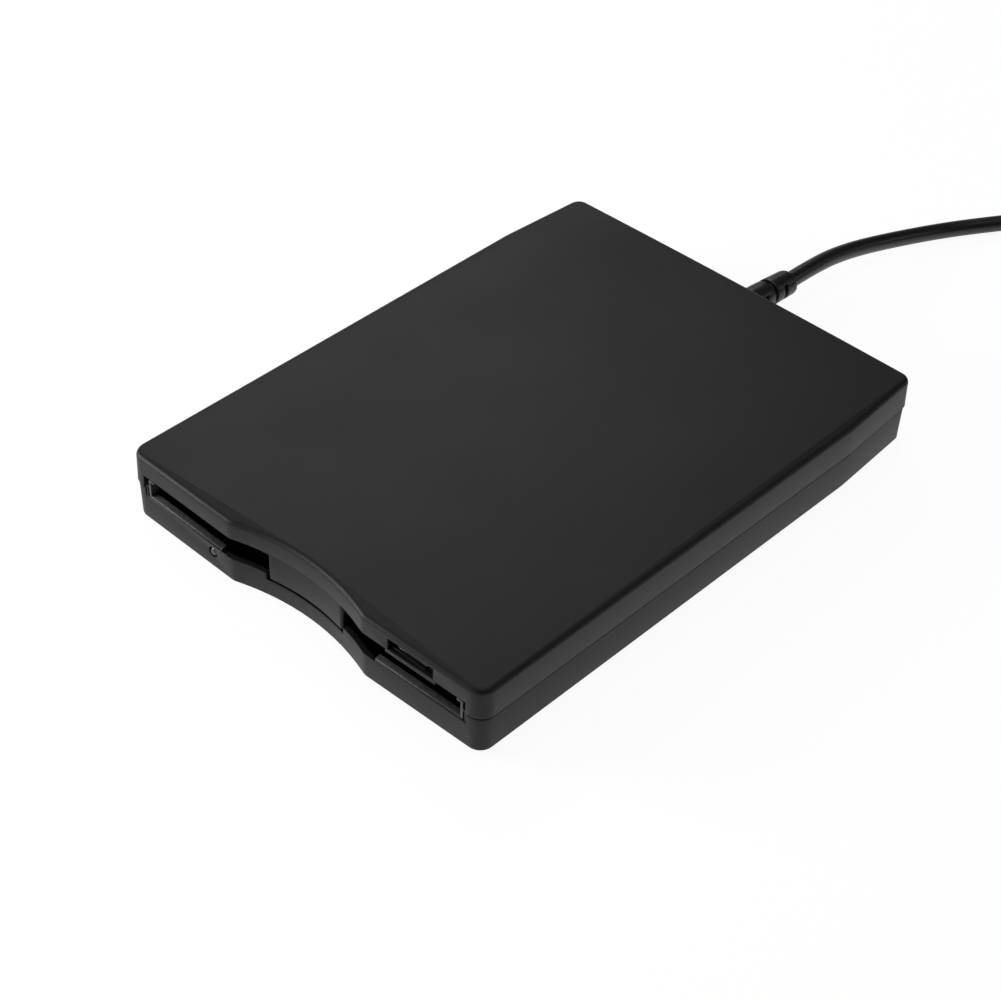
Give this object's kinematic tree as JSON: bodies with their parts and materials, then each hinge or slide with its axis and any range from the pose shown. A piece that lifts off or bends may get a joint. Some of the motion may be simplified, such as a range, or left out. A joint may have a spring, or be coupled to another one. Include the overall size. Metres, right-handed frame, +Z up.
{
  "type": "external floppy disk drive",
  "caption": "Slim slot-loading external 3.5-inch floppy disk drive with thumb notch, sprung dust door, eject button and an attached USB cord.",
  "frame": {"origin": "centre of the case's footprint, on the surface that its feet rest on", "axes": "+X right along the front, +Y from the disk slot to the rear where the cord leaves, +Z up"},
  "size_m": [0.1501, 0.2519, 0.0176],
  "materials": {
    "case_plastic": "fine matte moulded grain",
    "door_plastic": "smooth black",
    "rubber": "matte",
    "cord_jacket": "slightly satin",
    "steel": "zinc plated",
    "shaft_steel": "ground",
    "black_screw": "black oxide",
    "board": "solder mask",
    "chip": "moulded epoxy",
    "white_plastic": "natural acetal",
    "ribbon": "film",
    "lens": "smoked",
    "ceramic": "polished",
    "gold": "gold plated",
    "plug_metal": "nickel plated"
  },
  "bodies": {
    "case": {"top_cover": "case_plastic", "bottom_cover": "case_plastic", "rubber_feet": "rubber", "case_screws": "black_screw", "frame_screws": "black_screw", "right_slot_guide": "case_plastic", "left_slot_guide": "case_plastic", "eject_springs": "shaft_steel", "chassis_frame": "steel", "drive_top_plate": "steel", "guide_rods": "shaft_steel", "stepper_motor": "steel", "spindle_stator": "steel", "disk_in_switch": "chip", "write_protect_switch": "chip", "density_switch": "chip", "main_board": "board", "board_chips": "chip", "usb_board": "board", "usb_parts": "chip", "ribbon_cable": "ribbon", "status_led": "lens", "strain_relief": "cord_jacket", "usb_cord": "cord_jacket", "cord_coil": "cord_jacket", "cord_tail": "cord_jacket", "coil_tie": "rubber", "plug_body": "cord_jacket", "plug_shell": "plug_metal", "plug_insert": "chip", "plug_contacts": "gold"},
    "door": {"dust_door": "door_plastic", "door_pad": "case_plastic", "door_spring": "shaft_steel"},
    "eject": {"eject_button": "case_plastic", "eject_slider": "steel"},
    "carrier": {"disk_carrier": "steel"},
    "lever": {"eject_lever": "white_plastic"},
    "rotor": {"spindle_rotor": "steel"},
    "carriage": {"head_carriage": "white_plastic", "lower_head": "ceramic"},
    "head_arm": {"upper_head_arm": "white_plastic", "upper_head": "ceramic"},
    "screw": {"lead_screw": "shaft_steel"},
    "disk_in": {"disk_in_plunger": "white_plastic"},
    "write_protect": {"write_protect_plunger": "white_plastic"},
    "density": {"density_plunger": "white_plastic"}
  },
  "joints": [
    {"name": "door_swing", "type": "hinge", "parent": "case", "child": "door", "pos_m": [0, -0.066, 0.0139], "axis": [1, 0, 0], "range_deg": [0, 86], "stiffness_Nm_per_rad": 0.0004, "springref_deg": -28.65},
    {"name": "eject_slide", "type": "slide", "parent": "case", "child": "eject", "axis": [0, -1, 0], "range_m": [0, 0.004]},
    {"name": "carrier_drop", "type": "slide", "parent": "case", "child": "carrier", "axis": [0, 0, -1], "range_m": [0, 0.002]},
    {"name": "lever_swing", "type": "hinge", "parent": "case", "child": "lever", "pos_m": [-0.038, 0.037, 0.01], "axis": [0, 0, 1], "range_deg": [0, 35]},
    {"name": "spindle_spin", "type": "hinge", "parent": "case", "child": "rotor", "pos_m": [0, -0.015, 0.006], "axis": [0, 0, 1], "continuous": true},
    {"name": "head_step", "type": "slide", "parent": "case", "child": "carriage", "axis": [0, -1, 0], "range_m": [0, 0.0148]},
    {"name": "head_arm_drop", "type": "hinge", "parent": "carriage", "child": "head_arm", "pos_m": [0, 0.0531, 0.0129], "axis": [1, 0, 0], "range_deg": [0, 4.5]},
    {"name": "screw_turn", "type": "hinge", "parent": "case", "child": "screw", "pos_m": [0.024, 0.045, 0.0089], "axis": [0, 1, 0], "range_deg": [0, 1776]},
    {"name": "disk_in_press", "type": "slide", "parent": "case", "child": "disk_in", "axis": [0, 0, -1], "range_m": [0, 0.0011], "stiffness_N_per_m": 60, "springref_m": -0.001},
    {"name": "write_protect_press", "type": "slide", "parent": "case", "child": "write_protect", "axis": [0, 0, -1], "range_m": [0, 0.0011], "stiffness_N_per_m": 60, "springref_m": -0.001},
    {"name": "density_press", "type": "slide", "parent": "case", "child": "density", "axis": [0, 0, -1], "range_m": [0, 0.0011], "stiffness_N_per_m": 60, "springref_m": -0.001}
  ],
  "couplings": [
    {"joint": "carrier_drop", "follows": "eject_slide", "ratio": 0.5},
    {"joint": "lever_swing", "follows": "eject_slide", "rad_per_m": 152.28},
    {"joint": "head_arm_drop", "follows": "eject_slide", "rad_per_m": 19.417},
    {"joint": "screw_turn", "follows": "head_step", "rad_per_m": 2094.4}
  ]
}
